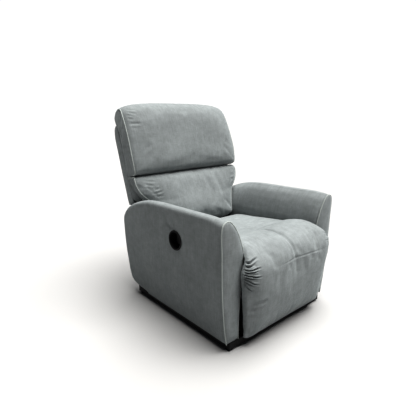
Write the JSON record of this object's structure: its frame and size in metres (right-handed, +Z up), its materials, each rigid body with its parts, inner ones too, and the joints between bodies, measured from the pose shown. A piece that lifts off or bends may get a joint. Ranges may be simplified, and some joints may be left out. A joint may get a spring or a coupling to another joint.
{
  "type": "recliner armchair",
  "caption": "Upholstered recliner armchair with padded arms on a black plinth, a reclining padded back, a gliding seat and a linkage-carried footrest released by a pull handle in the right arm.",
  "frame": {"origin": "centre of the chair's box on the floor plane, under the glides", "axes": "+Z up, the chair faces -Y, +X is the sitter's left"},
  "size_m": [0.8004, 0.9899, 1.0495],
  "materials": {
    "fabric": "soft grey woven microfibre",
    "black_wood": "satin black paint",
    "plywood": "bare plywood",
    "black_plastic": "satin moulded",
    "black_steel": "black coated",
    "spring_steel": "bright wire"
  },
  "bodies": {
    "base": {"plinth_rail_front": "black_wood", "plinth_rail_rear": "black_wood", "plinth_rail_left": "black_wood", "plinth_rail_right": "black_wood", "glide_front_left": "black_plastic", "glide_front_right": "black_plastic", "glide_rear_left": "black_plastic", "glide_rear_right": "black_plastic", "arm_pad_left": "fabric", "arm_pad_right": "fabric", "arm_frame_left": "plywood", "arm_frame_right": "plywood", "arm_front_panel_left": "fabric", "arm_front_panel_right": "fabric", "rear_apron": "fabric", "base_plate_left": "black_steel", "base_plate_right": "black_steel", "handle_cup": "black_plastic", "lever_pin": "spring_steel", "release_cable": "black_plastic"},
    "lever": {"release_lever": "black_plastic"},
    "latch": {"latch_pawl": "black_steel"},
    "seat": {"seat_rail_left": "plywood", "seat_rail_right": "plywood", "seat_rail_front": "plywood", "seat_rail_rear": "plywood", "seat_spring_1": "spring_steel", "seat_spring_2": "spring_steel", "seat_spring_3": "spring_steel", "seat_spring_4": "spring_steel", "seat_cushion": "fabric", "seat_front_roll": "fabric", "seat_plate_left": "black_steel", "seat_plate_right": "black_steel", "drive_spring": "spring_steel"},
    "rear_links": {"rear_link_left": "black_steel", "rear_link_right": "black_steel", "torque_tube": "black_steel"},
    "front_links": {"front_link_left": "black_steel", "front_link_right": "black_steel"},
    "upper_bars": {"upper_bar_left": "black_steel", "upper_bar_right": "black_steel"},
    "lower_bars": {"lower_bar_left": "black_steel", "lower_bar_right": "black_steel"},
    "footrest": {"footrest_board": "black_wood", "footrest_pad": "fabric", "footrest_bracket_left": "black_steel", "footrest_bracket_right": "black_steel"},
    "back": {"back_post_left": "plywood", "back_post_right": "plywood", "back_top_rail": "plywood", "back_bottom_rail": "plywood", "back_panel": "fabric", "headrest_pad": "fabric", "lumbar_pad": "fabric", "back_bracket_left": "black_steel", "back_bracket_right": "black_steel"},
    "drag_links": {"drag_link_left": "black_steel", "drag_link_right": "black_steel"}
  },
  "joints": [
    {"name": "back_recline", "type": "hinge", "parent": "base", "child": "back", "pos_m": [0, 0.225, 0.36], "axis": [-1, 0, 0], "range_deg": [0, 38]},
    {"name": "seat_glide", "type": "slide", "parent": "base", "child": "seat", "axis": [0, -0.9848, 0.174], "range_m": [0, 0.0629]},
    {"name": "footrest_open", "type": "hinge", "parent": "seat", "child": "footrest", "pos_m": [0, -0.465, 0.445], "axis": [-1, 0, 0], "range_deg": [0, 90]},
    {"name": "rear_link_swing", "type": "hinge", "parent": "seat", "child": "rear_links", "pos_m": [0, -0.2, 0.24], "axis": [-1, 0, 0], "range_deg": [0, 90]},
    {"name": "front_link_swing", "type": "hinge", "parent": "seat", "child": "front_links", "pos_m": [0, -0.2791, 0.30119], "axis": [-1, 0, 0], "range_deg": [0, 90]},
    {"name": "upper_bar_swing", "type": "hinge", "parent": "rear_links", "child": "upper_bars", "pos_m": [0, -0.12109, 0.13669], "axis": [-1, 0, 0], "range_deg": [-90, 0]},
    {"name": "lower_bar_swing", "type": "hinge", "parent": "rear_links", "child": "lower_bars", "pos_m": [0, -0.06646, 0.06517], "axis": [-1, 0, 0], "range_deg": [-90, 0]},
    {"name": "drag_link_swing", "type": "hinge", "parent": "seat", "child": "drag_links", "pos_m": [0, 0.12, 0.25], "axis": [-1, 0, 0], "range_deg": [-3.7, 0]},
    {"name": "lever_pull", "type": "hinge", "parent": "base", "child": "lever", "pos_m": [-0.372, -0.122, 0.445], "axis": [0, 0, 1], "range_deg": [0, 25], "stiffness_Nm_per_rad": 0.6},
    {"name": "latch_lift", "type": "hinge", "parent": "base", "child": "latch", "pos_m": [-0.2695, -0.02, 0.2], "axis": [1, 0, 0], "range_deg": [0, 12.5]}
  ],
  "couplings": [
    {"joint": "seat_glide", "follows": "back_recline", "m_per_rad": 0.09482},
    {"joint": "drag_link_swing", "follows": "back_recline", "ratio": -0.0965},
    {"joint": "rear_link_swing", "follows": "footrest_open", "ratio": 1},
    {"joint": "front_link_swing", "follows": "footrest_open", "ratio": 1},
    {"joint": "upper_bar_swing", "follows": "footrest_open", "ratio": -1},
    {"joint": "lower_bar_swing", "follows": "footrest_open", "ratio": -1},
    {"joint": "latch_lift", "follows": "lever_pull", "ratio": 0.5}
  ]
}
